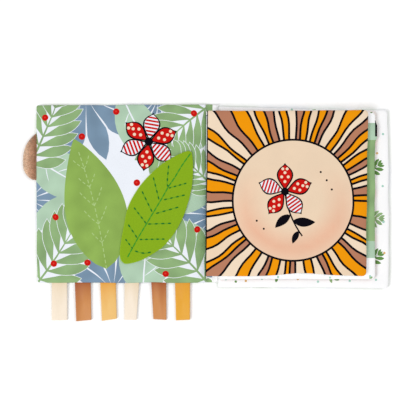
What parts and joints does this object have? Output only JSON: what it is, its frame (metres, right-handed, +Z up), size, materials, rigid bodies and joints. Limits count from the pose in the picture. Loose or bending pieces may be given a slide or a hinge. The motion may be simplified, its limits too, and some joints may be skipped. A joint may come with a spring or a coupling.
{
  "type": "crinkle cloth book",
  "caption": "Soft crinkle cloth book lying open: padded printed covers and leaves, satin ribbon loops, a plush ear and a felt leaf that lifts.",
  "frame": {"origin": "under the middle of the spine, on the surface the open book lies on", "axes": "+X across the spread from the gutter to the back cover's free edge, +Y up the page, +Z up from the table"},
  "size_m": [0.3657, 0.2168, 0.014],
  "materials": {
    "jungle_print_cotton": "printed leaf-pattern plain-weave cotton",
    "white_print_cotton": "white plain-weave cotton with small printed sprigs",
    "sunburst_print_cotton": "printed plain-weave cotton, cream, mustard and brown rays",
    "wadding": "polyester wadding",
    "crinkle_film": "thin crinkly polyester film",
    "satin_cream": "cream satin ribbon",
    "satin_caramel": "caramel satin ribbon",
    "satin_mustard": "mustard satin ribbon",
    "beige_plush": "short-pile beige plush",
    "green_felt": "bright green felt with dark green stitching"
  },
  "bodies": {
    "back_cover": {"back_cover_outer_cloth": "jungle_print_cotton", "back_cover_inner_cloth": "white_print_cotton", "back_cover_wadding": "wadding", "back_cover_crinkle_film": "crinkle_film", "spine_outer_cloth": "jungle_print_cotton", "spine_lining_cloth": "white_print_cotton"},
    "lower_leaf": {"lower_leaf_lower_cloth": "white_print_cotton", "lower_leaf_upper_cloth": "white_print_cotton", "lower_leaf_wadding": "wadding", "lower_leaf_crinkle_film": "crinkle_film"},
    "upper_leaf": {"upper_leaf_lower_cloth": "white_print_cotton", "upper_leaf_upper_cloth": "sunburst_print_cotton", "upper_leaf_wadding": "wadding", "upper_leaf_crinkle_film": "crinkle_film"},
    "front_cover": {"front_cover_outer_cloth": "jungle_print_cotton", "front_cover_inner_cloth": "jungle_print_cotton", "front_cover_wadding": "wadding", "front_cover_crinkle_film": "crinkle_film", "ribbon_loop_1": "satin_cream", "ribbon_loop_2": "satin_caramel", "ribbon_loop_3": "satin_mustard", "ribbon_loop_4": "satin_cream", "ribbon_loop_5": "satin_caramel", "ribbon_loop_6": "satin_mustard", "ear_front_plush": "beige_plush", "ear_back_plush": "beige_plush", "ear_stuffing": "wadding"},
    "felt_leaf": {"felt_leaf_flap": "green_felt"}
  },
  "joints": [
    {"name": "lower_leaf_turn", "type": "hinge", "parent": "back_cover", "child": "lower_leaf", "pos_m": [0, 0, 0.01055], "axis": [0, -1, 0], "range_deg": [0, 180]},
    {"name": "upper_leaf_turn", "type": "hinge", "parent": "lower_leaf", "child": "upper_leaf", "pos_m": [0, 0, 0.01055], "axis": [0, -1, 0], "range_deg": [0, 180]},
    {"name": "front_cover_turn", "type": "hinge", "parent": "back_cover", "child": "front_cover", "pos_m": [0, 0, 0.01055], "axis": [0, 1, 0], "range_deg": [0, 180]},
    {"name": "felt_leaf_lift", "type": "hinge", "parent": "front_cover", "child": "felt_leaf", "pos_m": [-0.09319, -0.06629, 0.00605], "axis": [0.831, -0.5563, 0], "range_deg": [0, 180]}
  ]
}
